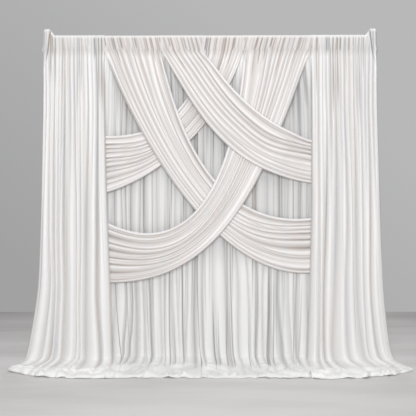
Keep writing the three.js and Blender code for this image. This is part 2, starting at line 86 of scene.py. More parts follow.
def colour(code):
    """An sRGB hex colour as the linear values that a shader takes."""
    parts = [int(code[place : place + 2], 16) / 255 for place in (1, 3, 5)]
    linear = [part / 12.92 if part <= 0.04045 else ((part + 0.055) / 1.055) ** 2.4 for part in parts]
    return (*linear, 1.0)


def add(tree, kind, inputs=None, **settings):
    """Adds one shader node with its settings. A socket given as an input is linked to it."""
    made = tree.nodes.new(kind)
    for name, value in settings.items():
        setattr(made, name, value)
    for name, value in (inputs or {}).items():
        if isinstance(value, bpy.types.NodeSocket):
            tree.links.new(value, made.inputs[name])
        else:
            made.inputs[name].default_value = value
    return made


def new_material(name):
    """An empty node material and its tree."""
    material = bpy.data.materials.new(name)
    material.use_nodes = True
    material.node_tree.nodes.clear()
    return material, material.node_tree


def per_metre(millimetres):
    """The Mapping scale of a pattern that repeats every so many millimetres along x, y and z."""
    return [1000 / size for size in millimetres]


bpy.ops.object.select_all(action="DESELECT")
bpy.ops.mesh.primitive_plane_add(size=2 * FLOOR_REACH)
floor = bpy.context.object
floor.name = "studio_floor"
# Poured concrete, trowelled smooth: pale and matt, with wide cloudy streaks. It is darker to the back,
# which is painted shade.
floor_material, tree = new_material("poured_concrete_floor")
place = add(tree, "ShaderNodeTexCoord").outputs["Object"]
streaks = add(tree, "ShaderNodeMapping", {"Vector": place, "Scale": per_metre(STREAKS_MM)})
clouds = add(tree, "ShaderNodeTexNoise", {"Vector": streaks.outputs[0], "Scale": 1.0, "Detail": 5.0})
depth = add(tree, "ShaderNodeSeparateXYZ", {"Vector": place}).outputs["Y"]
nearer = add(
    tree,
    "ShaderNodeMapRange",
    {"Value": depth, "From Min": FLOOR_SHADED_Y, "From Max": FLOOR_LIT_Y, "To Min": -0.12, "To Max": 0.56},
)
share = add(tree, "ShaderNodeMath", {0: nearer.outputs[0], 1: clouds.outputs["Fac"]}, operation="ADD")
tone = add(tree, "ShaderNodeValToRGB", {"Fac": share.outputs[0]})
tone.color_ramp.elements[0].position = 0.1
tone.color_ramp.elements[0].color = colour("#b4b2b1")
tone.color_ramp.elements[1].color = colour("#e6e4e3")
surface = add(tree, "ShaderNodeBsdfPrincipled", {"Base Color": tone.outputs[0], "Roughness": 0.75})
add(tree, "ShaderNodeOutputMaterial", {"Surface": surface.outputs[0]})
floor.data.materials.append(floor_material)

bpy.ops.mesh.primitive_plane_add(size=2 * FLOOR_REACH, rotation=(math.radians(90), 0, 0))
wall = bpy.context.object
wall.name = "studio_wall"
wall.location = (0, WALL_Y, FLOOR_REACH)
bpy.ops.object.transform_apply(location=True, rotation=True, scale=True)
for ray in ("diffuse", "glossy", "transmission", "volume_scatter", "shadow"):
    setattr(wall, f"visible_{ray}", False)
# The wall's grey is painted light that the wall gives off itself, in place of lit matt paint: an even tone
# that is a touch lighter towards the right and towards the top. Only the camera sees the wall, and not from
# behind.
wall_material, tree = new_material("painted_light_studio_wall")
place = add(tree, "ShaderNodeTexCoord").outputs["Object"]
rise = add(tree, "ShaderNodeVectorMath", {0: place, 1: (1.0, 0.0, 1.3)}, operation="DOT_PRODUCT")
share = add(tree, "ShaderNodeMapRange", {"Value": rise.outputs["Value"], "From Min": -1.8, "From Max": 5.6})
tone = add(tree, "ShaderNodeValToRGB", {"Fac": share.outputs[0]})
tone.color_ramp.elements[0].color = colour("#a2a2a2")
tone.color_ramp.elements[1].color = colour("#b8b8b9")
glow = add(tree, "ShaderNodeEmission", {"Color": tone.outputs[0], "Strength": 1.0})
clear = add(tree, "ShaderNodeBsdfTransparent")
facing = add(tree, "ShaderNodeNewGeometry").outputs["Backfacing"]
surface = add(tree, "ShaderNodeMixShader", {0: facing, 1: glow.outputs[0], 2: clear.outputs[0]})
add(tree, "ShaderNodeOutputMaterial", {"Surface": surface.outputs[0]})
wall.data.materials.append(wall_material)

# The fill lights the stand. Where the camera or a shiny surface looks past the studio it sees grey.
world = bpy.data.worlds.new("studio_air")
bpy.context.scene.world = world
world.use_nodes = True
tree = world.node_tree
tree.nodes.clear()
fill = add(tree, "ShaderNodeBackground", {"Color": colour("#f2f2f4"), "Strength": 0.41})
seen = add(tree, "ShaderNodeBackground", {"Color": colour("#adadad"), "Strength": 1.0})
rays = add(tree, "ShaderNodeLightPath").outputs
either = add(
    tree,
    "ShaderNodeMath",
    {0: rays["Is Camera Ray"], 1: rays["Is Glossy Ray"]},
    operation="MAXIMUM",
)
both = add(tree, "ShaderNodeMixShader", {0: either.outputs[0], 1: fill.outputs[0], 2: seen.outputs[0]})
add(tree, "ShaderNodeOutputWorld", {"Surface": both.outputs[0]})

# Each soft box: its place, the point it is turned to, its side, its watts and its spread in degrees.
for name, spot, goal, size, watts, spread in (
    ("front_softbox", (-0.25, BAR_Y - 6.0, 2.5), (0.2, BAR_Y, 1.3), 2.6, 173, 180),
    ("overhead_softbox", (0.6, BAR_Y - 2.9, 6.8), (0.2, BAR_Y - 0.5, 0.3), 3.0, 84, 180),
    ("rear_softbox", (0.4, BAR_Y + 6.5, 1.9), (0.0, BAR_Y, 1.6), 3.0, 75, 75),
):
    light_data = bpy.data.lights.new(name, "AREA")
    light_data.size = size
    light_data.energy = watts
    light_data.spread = math.radians(spread)
    light = bpy.data.objects.new(name, light_data)
    light.location = spot
    bpy.context.scene.collection.objects.link(light)
    aim = Vector(goal) - light.location
    light.rotation_euler = aim.to_track_quat("-Z", "Y").to_euler()

# Side and back drapes: soft polyester stretch knit. A sewn rod pocket slides over the bar, the cloth
# falls in deep soft folds and its last half metre lies forward on the floor as a train. A side
# drape's pocket also hoods the mast.
HALF_SPAN = 1.524
SEAM_DROP = 0.121
SEAM_Z = BAR_Z - SEAM_DROP
CLOTH_THICKNESS = 0.0014
# Cloth on top of the bar counts as up to this much farther above the seam.
OVER_BAR = 0.02


def through(knots, values, places):
    """A smooth line through values at knots, without overshoot, read at places."""
    knots, values = np.asarray(knots, float), np.asarray(values, float)
    stretch = (slice(None),) + (None,) * (values.ndim - 1)
    steps = np.diff(knots)
    rises = np.diff(values, axis=0) / steps[stretch]
    before, after = rises[:-1], rises[1:]
    same = before * after > 0
    slopes = np.concatenate([rises[:1], np.zeros_like(before), rises[-1:]])
    slopes[1:-1] = np.where(same, 2 * before * after / np.where(same, before + after, 1), 0)
    places = np.clip(places, knots[0], knots[-1])
    at = np.clip(np.searchsorted(knots, places, side="right") - 1, 0, len(knots) - 2)
    step = steps[at][stretch]
    t = ((places - knots[at]) / steps[at])[stretch]
    return (
        (2 * t**3 - 3 * t**2 + 1) * values[at]
        + (t**3 - 2 * t**2 + t) * step * slopes[at]
        + (3 * t**2 - 2 * t**3) * values[at + 1]
        + (t**3 - t**2) * step * slopes[at + 1]
    )


def ease(low, high, value):
    """0 below low, 1 above high, smooth between."""
    t = np.clip((value - low) / (high - low), 0, 1)
    return t * t * (3 - 2 * t)


def bell(off, half_width):
    """1 in the middle of a ridge or groove, falling to nothing on both sides."""
    return np.exp(-((off / half_width) ** 2))


def crumple(across, along, cell, draw):
    """Smooth random bumps from 0 to 1, with cells of that size."""
    columns = across / cell[0] - np.floor(across.min() / cell[0])
    rows = along / cell[1] - np.floor(along.min() / cell[1])
    lattice = draw.random((int(rows.max()) + 2, int(columns.max()) + 2))
    column, row = np.floor(columns).astype(int), np.floor(rows).astype(int)
    right, down = ease(0, 1, columns - column), ease(0, 1, rows - row)
    top = lattice[row, column] * (1 - right) + lattice[row, column + 1] * right
    low = lattice[row + 1, column] * (1 - right) + lattice[row + 1, column + 1] * right
    return top * (1 - down) + low * down


# A crest stands off the middle between its valleys by these shares of the gap, and the lowest crest is
# this high beside the tallest. A narrow fold keeps this share of its valley's depth.
CREST_OFFSETS = (0.06, 0.28)
LOWEST_CREST = 0.75
NARROW_FOLD = 0.25


def ridges(shares, width, valleys, weights, draw, full_fold, roundness, soft, broad):
    """Folds between valleys: 1 on a crest, 0 in a valley of weight 1, and how much painted shade a point
    gets. A fold of the full width has its full depth, and the valleys' bottoms are soft. The painted shade
    of a valley spreads over its flanks by a share drawn from broad."""
    gaps = np.diff(valleys, axis=1) * width[:, None]
    crests = 0.5 + draw.choice((-1, 1), gaps.shape[1]) * draw.uniform(*CREST_OFFSETS, gaps.shape[1])
    tall = draw.uniform(LOWEST_CREST, 1.0, gaps.shape[1])
    before = np.concatenate([gaps[:, :1], gaps * (1 - crests)], axis=1)
    after = np.concatenate([gaps * crests, gaps[:, -1:]], axis=1)
    weights = weights * np.clip((before + after) / full_fold, NARROW_FOLD, 1)
    relief = np.ones((len(width), len(shares)))
    dark = np.zeros_like(relief)
    lee = draw.uniform(*broad, (2, valleys.shape[1]))
    for place in range(valleys.shape[1]):
        off = (shares - valleys[:, place, None]) * width[:, None]
        reach = np.where(off < 0, before[:, place, None], after[:, place, None])
        flank = 1 - np.clip((np.hypot(off, soft) - soft) / reach, 0, 1)
        relief -= weights[:, place, None] * flank**roundness
        wide = np.where(off < 0, lee[0, place], lee[1, place])
        gloom = wide * flank**1.1 + (1 - wide) * flank ** (4 * roundness)
        dark = np.maximum(dark, weights[:, place, None] * gloom)
    tops = valleys[:, :-1] + np.diff(valleys, axis=1) * crests
    relief *= np.array([np.interp(shares, row, tall) for row in tops])
    return relief, dark


# The slits between the gathers: how far apart they are, their half widths and how deep they are.
GATHER_PITCH = 0.026
SLIT_HALF_WIDTHS = (0.0045, 0.0095)
SLIT_DEPTHS = (0.2, 0.8)


def gathers(shares, width, below, lean, reach, draw):
    """The slits between the gathers at the top of a cloth, which close at different heights: 0 on the
    cloth and 1 in the deepest slit."""
    count = int(width / GATHER_PITCH)
    open_cloth = np.ones((len(below), len(shares)))
    opening = ease(-SEAM_DROP - 0.012, -SEAM_DROP + 0.014, below)
    for place in range(-4, count + 4):
        middle = (place + draw.uniform(0.1, 0.9)) / count
        end = draw.uniform(-0.05, 0.05) + reach * draw.uniform(0, 1) ** 2.2
        deep = draw.uniform(*SLIT_DEPTHS)
        narrow = draw.uniform(*SLIT_HALF_WIDTHS) * (1 + ease(0, 0.5, below))
        fade = opening * (1 - ease(0.4 * end - 0.05, end, below))
        off = (shares - middle + lean[:, None]) * width
        open_cloth *= 1 - deep * fade[:, None] * bell(off, narrow[:, None])
    return 1 - open_cloth


def heading_shade(below):
    """How much a heading lies in the shade below the bright top of the bar."""
    return 0.15 * ease(-SEAM_DROP - 0.018, -SEAM_DROP + 0.010, below) * (1 - ease(-0.02, 0.07, below))


CREASE_HALF_WIDTHS = (0.0032, 0.0075)


def creases(shares, width, below, count, span, draw):
    """Fine creases that run along the folds for part of their length, from 0 to 1."""
    sunk = np.zeros((len(below), len(shares)))
    for _ in range(count):
        middle, drift = draw.uniform(0.02, 0.98), draw.uniform(-0.03, 0.03)
        start = draw.uniform(-0.3, 0.8) * span
        end = start + draw.uniform(0.25, 0.9) * span
        narrow, deep = draw.uniform(*CREASE_HALF_WIDTHS), draw.uniform(0.3, 1.0) ** 1.7
        fade = ease(start, start + 0.25 * span, below) * (1 - ease(end - 0.25 * span, end, below))
        line = middle + drift * np.sin(2.2 * below / span + 6 * middle)
        off = (shares[None, :] - line[:, None]) * width[:, None]
        sunk = np.maximum(sunk, deep * fade[:, None] * bell(off, narrow))
    return sunk


def cloth_piece(name, points, crest, flat_width, lengths):
    """The mesh of one cloth from its grid of points, with a UV map in metres of flat cloth."""
    rows, columns = points.shape[:2]
    index = np.arange(rows * columns).reshape(rows, columns)
    quads = np.stack([index[:-1, :-1], index[1:, :-1], index[1:, 1:], index[:-1, 1:]], axis=-1)
    mesh = bpy.data.meshes.new(name)
    mesh.from_pydata(points.reshape(-1, 3).tolist(), [], quads.reshape(-1, 4).tolist())
    mesh.shade_smooth()
    # The crest attribute carries the cloth's painted shade and highlight: 1 on a lit crest, less where the
    # cloth is shaded.
    crease = mesh.attributes.new("crest", "FLOAT", "POINT")
    crease.data.foreach_set("value", np.clip(crest, 0, 1).astype(np.float32).ravel())
    corners = np.zeros(len(mesh.loops), np.int32)
    mesh.loops.foreach_get("vertex_index", corners)
    across = np.broadcast_to(np.linspace(0, flat_width, columns), (rows, columns)).ravel()
    down = np.broadcast_to(lengths[:, None], (rows, columns)).ravel()
    flat = mesh.uv_layers.new(name="flat_cloth")
    flat.data.foreach_set("uv", np.stack([across[corners], down[corners]], 1).astype(np.float32).ravel())
    piece = bpy.data.objects.new(name, mesh)
    bpy.context.scene.collection.objects.link(piece)
    wall = piece.modifiers.new("thickness", "SOLIDIFY")
    wall.thickness = CLOTH_THICKNESS
    wall.offset = 0
    return piece


# The knit takes its dye a little unevenly, in soft bands down the cloth, and the same bands turn the
# painted shade in its valleys warmer or cooler. The real knit's ribs are 0.7 mm apart and its nap is finer
# still. Both are drawn as coarse as this, so that they show.
DYE_AND_SHADE_TINT_MM = (90.9, 500, 1111)
RIB_PITCH_MM = 5.928
NAP_MM = 2.381
# A wave texture of scale 1 has this many waves in a metre.
WAVES_PER_METRE = 20 / (2 * math.pi)


def knit_material(name, light, warm_shade, cool_shade, bright):
    """Brushed stretch knit: matt, with a soft sheen and faint ribs. Its valleys have painted shade, some
    warmer and some cooler, read from the crest attribute, and its crests have a painted highlight."""
    material, tree = new_material(name)
    place = add(tree, "ShaderNodeTexCoord").outputs["Object"]
    flat = add(tree, "ShaderNodeUVMap", uv_map="flat_cloth").outputs[0]
    crest = add(tree, "ShaderNodeAttribute", attribute_name="crest").outputs["Fac"]
    bands = add(tree, "ShaderNodeMapping", {"Vector": place, "Scale": per_metre(DYE_AND_SHADE_TINT_MM)})
    dye_and_shade_tint = add(tree, "ShaderNodeTexNoise", {"Vector": bands.outputs[0], "Scale": 1.0, "Detail": 2.0})
    warmth = add(
        tree,
        "ShaderNodeMapRange",
        {"Value": dye_and_shade_tint.outputs["Fac"], "From Min": 0.42, "From Max": 0.58},
    )
    shade = add(
        tree,
        "ShaderNodeMix",
        {"Factor": warmth.outputs[0], "A": colour(cool_shade), "B": colour(warm_shade)},
        data_type="RGBA",
    )
    # Painted shade: the lower the crest attribute, the more the colour turns to the shade colour.
    depth = add(tree, "ShaderNodeMapRange", {"Value": crest, "To Min": 1.0, "To Max": 0.0})
    toned = add(
        tree,
        "ShaderNodeMix",
        {"Factor": depth.outputs[0], "A": colour(light), "B": shade.outputs["Result"]},
        data_type="RGBA",
    )
    # Painted highlight: the highest crests turn to the bright colour.
    lit = add(tree, "ShaderNodeMapRange", {"Value": crest, "From Min": 0.88})
    mixed = add(
        tree,
        "ShaderNodeMix",
        {"Factor": lit.outputs[0], "A": toned.outputs["Result"], "B": colour(bright)},
        data_type="RGBA",
    )
    uneven = add(tree, "ShaderNodeMapRange", {"Value": dye_and_shade_tint.outputs["Fac"], "To Min": 0.97, "To Max": 1.02})
    dyed_and_shaded = add(
        tree,
        "ShaderNodeVectorMath",
        {0: mixed.outputs["Result"], "Scale": uneven.outputs[0]},
        operation="SCALE",
    )
    rib_scale = 1000 / RIB_PITCH_MM / WAVES_PER_METRE
    ribs = add(tree, "ShaderNodeTexWave", {"Vector": flat, "Scale": rib_scale, "Distortion": 0.6})
    nap = add(tree, "ShaderNodeTexNoise", {"Vector": flat, "Scale": 1000 / NAP_MM, "Detail": 2.0})
    relief = add(tree, "ShaderNodeMath", {0: ribs.outputs["Fac"], 1: nap.outputs["Fac"]}, operation="ADD")
    bump = add(tree, "ShaderNodeBump", {"Height": relief.outputs[0], "Strength": 0.2, "Distance": 0.0004})
    rough = add(tree, "ShaderNodeMapRange", {"Value": nap.outputs["Fac"], "To Min": 0.74, "To Max": 0.92})
    surface = add(
        tree,
        "ShaderNodeBsdfPrincipled",
        {
            "Base Color": dyed_and_shaded.outputs[0],
            "Roughness": rough.outputs[0],
            "Normal": bump.outputs[0],
            "Sheen Weight": 0.2,
            "Sheen Roughness": 0.45,
            "Specular IOR Level": 0.25,
        },
    )
    add(tree, "ShaderNodeOutputMaterial", {"Surface": surface.outputs[0]})
    return material


# The hood goes round the mast and its cap, and rises and opens beside them over these lengths of bar.
MAST_RADIUS = 0.0222
HOOD_RADIUS = MAST_RADIUS + 0.0016
HOOD_RISE = 0.059
HOOD_SIDE = HALF_SPAN - MAST_RADIUS - 0.006
HOOD_RISES_OVER, HOOD_OPENS_OVER = 0.055, 0.090
# The seam's two layers lie this far from its middle, which is in front of the bar's axis.
SEAM_HALF_GAP = 0.0012
SEAM_FORWARD = 0.007
# The spare cloth of the hood sticks out as a small tail beside the mast, and a crease runs down there
# that starts just inside the hood and leans outwards.
TAIL_LENGTH, TAIL_HALF_WIDTH, TAIL_OVER_SEAM = 0.014, 0.02, 0.01
MAST_CREASE_INSET, MAST_CREASE_HALF_WIDTH, MAST_CREASE_OVER_SEAM = 0.004, 0.007, 0.06
MAST_CREASE_LEAN = 0.16
MAST_CREASE_STARTS, MAST_CREASE_ENDS = (-0.155, -0.12), (0.02, 0.16)


def rod_pocket(heading, bar_radius):
    """A drape's pocket in rows, up the back, over the bar and down the front to the seam: y, z, how
    far each row is above the seam, and the seam's y in front."""
    hooded = ease(0, 1, 1 + (heading - HOOD_SIDE) / HOOD_RISES_OVER)
    opened = ease(0, 1, 1 + (heading - HOOD_SIDE) / HOOD_OPENS_OVER)
    # The hood's outer end is rounded, and all but closed.
    past = np.clip(heading - HALF_SPAN, 0, HOOD_RADIUS * 0.995)
    closing = np.sqrt(HOOD_RADIUS**2 - past**2) / HOOD_RADIUS
    radius = (bar_radius + (HOOD_RADIUS - bar_radius) * hooded) * closing
    centre = BAR_Z + HOOD_RISE * hooded
    half_gap = (SEAM_HALF_GAP + (HOOD_RADIUS - SEAM_HALF_GAP) * opened) * closing
    middle = SEAM_FORWARD * (1 - opened)
    seam_back, seam_front = half_gap - middle, -half_gap - middle
    back = np.linspace(0, 1, 6)[:-1, None]
    turn = np.linspace(0, np.pi, 9)[:, None]
    front = np.linspace(0, 1, 15)[1:, None]
    back_y, front_y = seam_back + (radius - seam_back) * back, -radius + (radius + seam_front) * front
    back_z, front_z = SEAM_Z + (centre - SEAM_Z) * back, centre + (SEAM_Z - centre) * front
    y = np.concatenate([back_y, radius * np.cos(turn), front_y])
    z = np.concatenate([back_z, centre + radius * np.sin(turn), front_z])
    above = np.concatenate([SEAM_DROP * back, SEAM_DROP + OVER_BAR * np.sin(turn), SEAM_DROP * (1 - front)])
    return y, z, above[:, 0], seam_front


# How far below the seam a drape's edges are given, and the cloth's height there. Below the seam it
# lies in front of the bar's axis by a share of the drape's own depth and by some metres more. At the
# hem those are the drape's reach.
FALL_DROPS = (0, 0.424, 1.211, 2.088, 2.707, 2.855, 2.965, 3.255)
FALL_HEIGHTS = (2.903, 2.480, 1.693, 0.816, 0.192, 0.044, 0.009, 0.002)
FALL_DEPTHS = (0.8, 1, 1, 1, 1, 1, 0)
FALL_FORWARD = (0, 0, 0, 0.010, 0.036, 0.135)
HEM_DROP = FALL_DROPS[-1]
# The grid's rows are closer at the seam, in the bend and in the train.
ROW_DROPS = np.concatenate(
    [
        (0.006, 0.014, 0.026, 0.042, 0.062, 0.088, 0.12, 0.16),
        np.linspace(0.205, 2.64, 44),
        np.linspace(2.67, 2.97, 20),
        np.linspace(2.982, HEM_DROP, 28),
    ]
)
# How far below the seam the valleys' places are given, and the folds' depth, as a share of the
# deepest one. LOW marks where a drape's own share for its low part is multiplied in.
VALLEY_DROPS = (0, 0.45, 1.6, 2.25, 2.78, 3.255)
DEPTH_DROPS = (-0.02, 0.0, 0.10, 0.45, 1.0, 1.9, 2.5, 2.78, 2.90, 3.0, 3.20, 3.24, HEM_DROP)
DEPTH_SHARES = np.array((0.08, 0.15, 0.4, 0.7, 1, 1, 1, 1, 0.85, 0.65, 0.40, 0.25, 0.04))
LOW = slice(6, 9)
# From where to where, in metres below the seam, each change comes about on the way down.
HEM_TURNS = (0.0, 0.05)
RIM_DEEPENS = (0, 0.3)
VALLEYS_WANDER, LOW_VALLEYS_WANDER = (0.1, 0.6), (2.1, 2.75)
HALVES_JOIN = (0.35, 1.7)
FOLDS_SPREAD = (2.8, 3.2)
CRESTS_COME_FORWARD = (2.70, 2.95)
CREASES_START, CREASES_END = (0.02, 0.25), (2.92, 3.12)
SHADE_SOFTENS, SHADE_ENDS = (1.3, 2.3), (2.90, 3.14)
LOW_SHADE_ENDS = (2.75, 2.95)
SWAG_SHADE_STARTS, SWAG_SHADE_ENDS = (0.1, 0.5), (1.7, 2.1)
TURNS_UPWARD = (2.62, 3.08)
LIES_DOWN = (2.90, 3.10)
HEM_WAVES, HEM_LIFTS = (3.0, HEM_DROP), (3.12, HEM_DROP)
# Side hems: how wide the fold at the edge is, how far it turns back and how far it is raised beside.
HEM_HALF_WIDTH = 0.007
HEM_BACK, HEM_RAISED = 0.009, 0.003
HEM_RAISED_AT = 0.013
CREASE_DEPTH, CREASE_SPAN = 0.0045, 3.0
# The valleys wander by this share of the width, in waves of so many radians a metre. The two halves of
# a fold are parted by a valley of such a weight.
WANDER_SHARE, WANDER_WAVES = 0.005, 2.6
HALVES_WEIGHTS = (0.3, 0.75)
# The train: the size of its puffs and of the waves along its hem.
PUFF_CELLS, DRIFT_CELLS = (0.12, 0.12), (0.16, 0.16)
WAVE_CELLS, LIFT_CELLS = (0.055, 0.5), (0.07, 0.5)
WAVE_DEPTH, LIFT_HEIGHT = 0.040, 0.013
# Gathered cloth is this much wider when it lies flat.
FULLNESS = 2.1


def drape_folds(shares, width, below, valleys, weights, kind, draw):
    """A drape's long folds: how high each point lies in them and how much painted shade it gets. The
    valleys wander a little on the way down, and in the top metre each fold is split in two."""
    lines = through(VALLEY_DROPS, valleys, below)
    sway = draw.uniform(0, 6.28, lines.shape[1])
    swing = WANDER_SHARE * ease(*VALLEYS_WANDER, below)
    swing = swing + kind["low_swing"] * ease(*LOW_VALLEYS_WANDER, below)
    lines = lines + swing[:, None] * np.sin(WANDER_WAVES * below[:, None] + sway)
    lines = lines - kind["spread"] * ease(*FOLDS_SPREAD, below)[:, None] * np.sin(np.pi * lines)
    lines = np.concatenate([np.zeros((len(below), 1)), lines, np.ones((len(below), 1))], axis=1)
    rim = 0.75 * ease(*RIM_DEEPENS, below)[:, None]
    strengths = np.concatenate([rim, weights * np.ones_like(rim), rim], axis=1)
    relief, dark = ridges(shares, width, lines, strengths, draw, **kind["fold"])
    between = np.arange(1, lines.shape[1])
    split = np.insert(lines, between, (lines[:, :-1] + lines[:, 1:]) / 2, axis=1)
    halves = np.insert(strengths, between, draw.uniform(*HALVES_WEIGHTS, len(between)), axis=1)
    half_fold = kind["fold"] | {"full_fold": 0.5 * kind["fold"]["full_fold"]}
    fine_relief, fine_dark = ridges(shares, width, split, halves, draw, **half_fold)
    upper = kind["split"] * (1 - ease(*HALVES_JOIN, below))[:, None]
    relief += upper * (fine_relief - relief)
    dark += upper * (fine_dark - dark)
    return relief, dark


def drape(name, side, kind, depth, shaded, edges, valleys, weights, seed):
    """One drape: pocket, fall and train. Edges and valleys are counted from its outer side."""
    draw = np.random.default_rng(seed)
    edges = np.array(edges)
    columns = kind["columns"]
    shares = np.linspace(0, 1, columns)
    heading = HALF_SPAN * (edges[0, 0] + (edges[0, 1] - edges[0, 0]) * shares)
    pocket_y, pocket_z, above, seam_y = rod_pocket(heading, kind["bar_radius"])
    forward = np.array(FALL_DEPTHS) * depth + (*FALL_FORWARD, kind["reach"])
    fall_y = np.concatenate([seam_y[None], np.repeat(-forward[:, None], columns, axis=1)])
    fall_y[-1] *= 1 - kind["corner"] * (1 - shares) ** 3
    fall_z = through(FALL_DROPS, FALL_HEIGHTS, ROW_DROPS)[:, None]
    y = np.concatenate([pocket_y, through(FALL_DROPS, fall_y, ROW_DROPS)])
    z = np.concatenate([pocket_z, np.repeat(fall_z, columns, axis=1)])
    below = np.concatenate([-above, ROW_DROPS])
    row_edges = through(FALL_DROPS, edges, below)
    width = HALF_SPAN * np.abs(row_edges[:, 0] - row_edges[:, 1])
    x = HALF_SPAN * (row_edges[:, :1] + (row_edges[:, 1:] - row_edges[:, :1]) * shares)
    if kind["hood"]:
        tail = bell(below + TAIL_OVER_SEAM, TAIL_HALF_WIDTH)[:, None]
        x = x + TAIL_LENGTH * (tail * bell(heading[0] - heading, TAIL_HALF_WIDTH))

    relief, dark = drape_folds(shares, width, below, valleys, weights, kind, draw)
    depth_shares = DEPTH_SHARES.copy()
    depth_shares[LOW] *= kind["lower"]
    envelope = through(DEPTH_DROPS, depth_shares * kind["deepest"], below)
    high = envelope[:, None] * relief
    # Where the folds are deeper their crests stay in one plane, behind the swags' ends.
    set_back = np.maximum(envelope - kind["deepest"], 0) * (1 - ease(*CRESTS_COME_FORWARD, below))
    high -= set_back[:, None]
    slits = gathers(shares, width[0], below, np.zeros(len(below)), kind["slit_reach"], draw)
    if kind["hood"]:
        leaning = MAST_CREASE_LEAN * (below[:, None] + MAST_CREASE_OVER_SEAM)
        off_crease = heading - (HOOD_SIDE - MAST_CREASE_INSET + leaning)
        fade = ease(*MAST_CREASE_STARTS, below) * (1 - ease(*MAST_CREASE_ENDS, below))
        slits = np.maximum(slits, 0.9 * fade[:, None] * bell(off_crease, MAST_CREASE_HALF_WIDTH))
    gather_heights = kind["gather_heights"]
    room = np.interp(above, (0, 0.08, SEAM_DROP, SEAM_DROP + OVER_BAR), gather_heights)
    fall_room = through((0, 0.05, HEM_DROP), (gather_heights[0], 0.011, 0.011), ROW_DROPS)
    room = np.concatenate([room, fall_room])
    high += room[:, None] * (1 - slits) * ease(0, 0.03, HEM_DROP + 0.004 - below)[:, None]
    thin = creases(shares, width, below, kind["creases"], CREASE_SPAN, draw)
    thin *= (ease(*CREASES_START, below) * (1 - ease(*CREASES_END, below)))[:, None]
    high -= CREASE_DEPTH * thin
    # Painted shade, kept in the crest attribute: in the valleys, less of it lower down, and in the slits
    # and along the creases.
    calm = 0.8 - 0.22 * ease(*SHADE_SOFTENS, below)
    calm = calm * (1 - ease(*SHADE_ENDS, below)) * ease(-SEAM_DROP, 0.02, below)
    crest = 1 - np.maximum(np.maximum(dark * calm[:, None], slits), kind["crease_shade"] * thin)
    # More painted shade: the lower fall is a touch darker, and a heading is shaded below the bright top of
    # the bar.
    dull = 0.035 * ease(*SHADE_SOFTENS, below) * (1 - ease(*LOW_SHADE_ENDS, below))
    crest -= (heading_shade(below) + dull)[:, None]
    # The swags keep some light off the upper part of a back drape.
    crest -= (shaded * ease(*SWAG_SHADE_STARTS, below) * (1 - ease(*SWAG_SHADE_ENDS, below)))[:, None]

    # Side hems: a narrow raised edge that turns back.
    from_edge = np.minimum(shares, 1 - shares)[None, :] * width[:, None]
    hanging = ease(*HEM_TURNS, below)[:, None]
    high -= hanging * HEM_BACK * bell(from_edge, HEM_HALF_WIDTH)
    high += hanging * HEM_RAISED * bell(from_edge - HEM_RAISED_AT, HEM_HALF_WIDTH)

    # The train: the folds die out where they land, the cloth lies in loose puffs and its hem waves.
    along = np.repeat(below[:, None], columns, axis=1)
    lying = ease(*LIES_DOWN, along) * ease(0, 0.05, HEM_DROP + 0.01 - along)
    drift = 0.30 * (crumple(x, along, DRIFT_CELLS, draw) - 0.5)
    puffs = np.abs(2 * crumple(x + drift, along + drift, PUFF_CELLS, draw) - 1)
    high += lying * (kind["puff"] * puffs - 0.006)
    # Painted shade in the hollows between the puffs.
    crest -= 0.10 * lying * (1 - puffs) ** 6
    noses = 0.5 * relief + crumple(x, along, WAVE_CELLS, draw) - 0.75
    y = y - ease(*HEM_WAVES, along) * WAVE_DEPTH * noses

    # Heights are laid off square to the pocket, and turn slowly from forward to upward on the way down.
    dy, dz = np.gradient(y, axis=0), np.gradient(z, axis=0)
    run = np.hypot(dy, dz) + 1e-9
    tilt = 0.5 * np.pi * ease(*TURNS_UPWARD, along)
    hung = ease(0, 0.03, along)
    forward_y = dz / run + hung * (-np.cos(tilt) - dz / run)
    upward_z = -dy / run + hung * (np.sin(tilt) + dy / run)
    y, z = y + high * forward_y, z + high * upward_z
    lifted = np.clip(2.4 * crumple(x, along, LIFT_CELLS, draw) - 1.2, 0, 1)
    z = np.maximum(z, CLOTH_THICKNESS / 2 + 0.0004) + LIFT_HEIGHT * ease(*HEM_LIFTS, along) * lifted
    steps = np.hypot(np.diff(y[:, columns // 2]), np.diff(z[:, columns // 2]))
    lengths = np.concatenate([[0], np.cumsum(steps)])
    points = np.stack([side * x, BAR_Y + y, z], axis=-1)
    if side > 0:
        points, crest = points[:, ::-1], crest[:, ::-1]
    return cloth_piece(name, points, crest, FULLNESS * width[0], lengths)


# Each knit: its lit colour, its warm and its cool painted shade for the valleys, and its painted highlight
# for the crests.
side_cloth = knit_material("stretch_knit_side_drapes", "#f5f4f3", "#9f9388", "#959597", "#fdfdfc")
back_cloth = knit_material("stretch_knit_back_drapes", "#ececeb", "#928b85", "#89898b", "#f6f6f5")
# What the drapes of a kind share. A side drape is full and soft, with a hood, and a back drape has
# finer folds, which are deeper below the swags. Its heading lies flat under the swags' flounces.
SIDE = {
    "hood": True,
    "columns": 370,
    "bar_radius": 0.0243,
    "reach": 0.425,
    "corner": 0.45,
    "fold": {"full_fold": 0.06, "roundness": 1.7, "soft": 0.003, "broad": (0.3, 0.95)},
    "split": 1.0,
    "low_swing": 0.003,
    "spread": 0.05,
    "deepest": 0.042,
    "lower": 1.0,
    "slit_reach": 0.9,
    "gather_heights": (0.011, 0.0105, 0.0055, 0.0035),
    "creases": 20,
    "crease_shade": 0.5,
    "puff": 0.032,
}
BACK = {
    "hood": False,
    "columns": 385,
    "bar_radius": 0.0203,
    "reach": 0.408,
    "corner": 0.0,
    "fold": {"full_fold": 0.05, "roundness": 2.3, "soft": 0.0015, "broad": (0.12, 0.6)},
    "split": 0.4,
    "low_swing": 0.007,
    "spread": 0.02,
    "deepest": 0.026,
    "lower": 1.8,
    "slit_reach": 1.6,
    "gather_heights": (0.004, 0.004, 0.002, 0.001),
    "creases": 64,
    "crease_shade": 0.95,
    "puff": 0.040,
}
